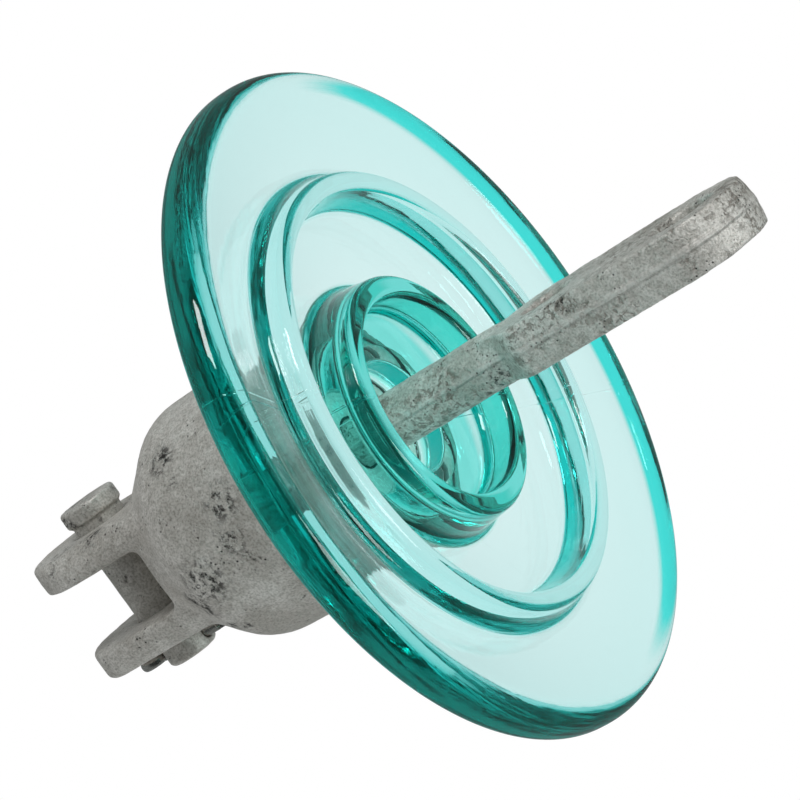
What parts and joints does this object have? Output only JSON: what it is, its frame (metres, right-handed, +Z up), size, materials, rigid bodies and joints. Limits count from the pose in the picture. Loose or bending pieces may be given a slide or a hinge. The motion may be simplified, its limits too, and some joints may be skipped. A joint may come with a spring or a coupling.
{
  "type": "cap and pin glass insulator",
  "caption": "Glass disc insulator with a galvanised clevis cap and clevis pin on top and a flat tongue with eye holes below.",
  "frame": {"origin": "on the clevis pin's axis, midway between the fork's ears", "axes": "+Z up, away from the tongue, as the insulator hangs in service; +X along the clevis pin towards its head, parallel to the tongue's eye hole"},
  "size_m": [0.2, 0.2, 0.2493],
  "materials": {
    "cap": "hot-dip galvanised casting, matt and pitted",
    "lining": "thin bituminous coat",
    "cement": "cured cement",
    "cushion": "bitumen-soaked felt disc",
    "glass": "toughened pale aqua glass, polished by the mould",
    "tongue_pin": "hot-dip galvanised forging, mottled",
    "clevis_pin": "galvanised steel, slightly yellowed",
    "split_pin": "bright stainless wire"
  },
  "bodies": {
    "insulator": {"cap": "cap", "cap_lining": "lining", "cap_cement": "cement", "cap_cushion": "cushion", "glass_shell": "glass", "pin_cement": "cement", "pin_coat": "lining", "pin_cushion": "cushion", "tongue_pin": "tongue_pin"},
    "clevis_pin": {"clevis_pin": "clevis_pin"},
    "split_pin": {"split_pin": "split_pin"}
  },
  "joints": [
    {"name": "clevis_pin_turn", "type": "hinge", "parent": "insulator", "child": "clevis_pin", "pos_m": [0, 0, 0], "axis": [1, 0, 0], "range_deg": [-90, 90]},
    {"name": "split_pin_draw", "type": "slide", "parent": "clevis_pin", "child": "split_pin", "axis": [0, 0, 1], "range_m": [0, 0.03]}
  ]
}
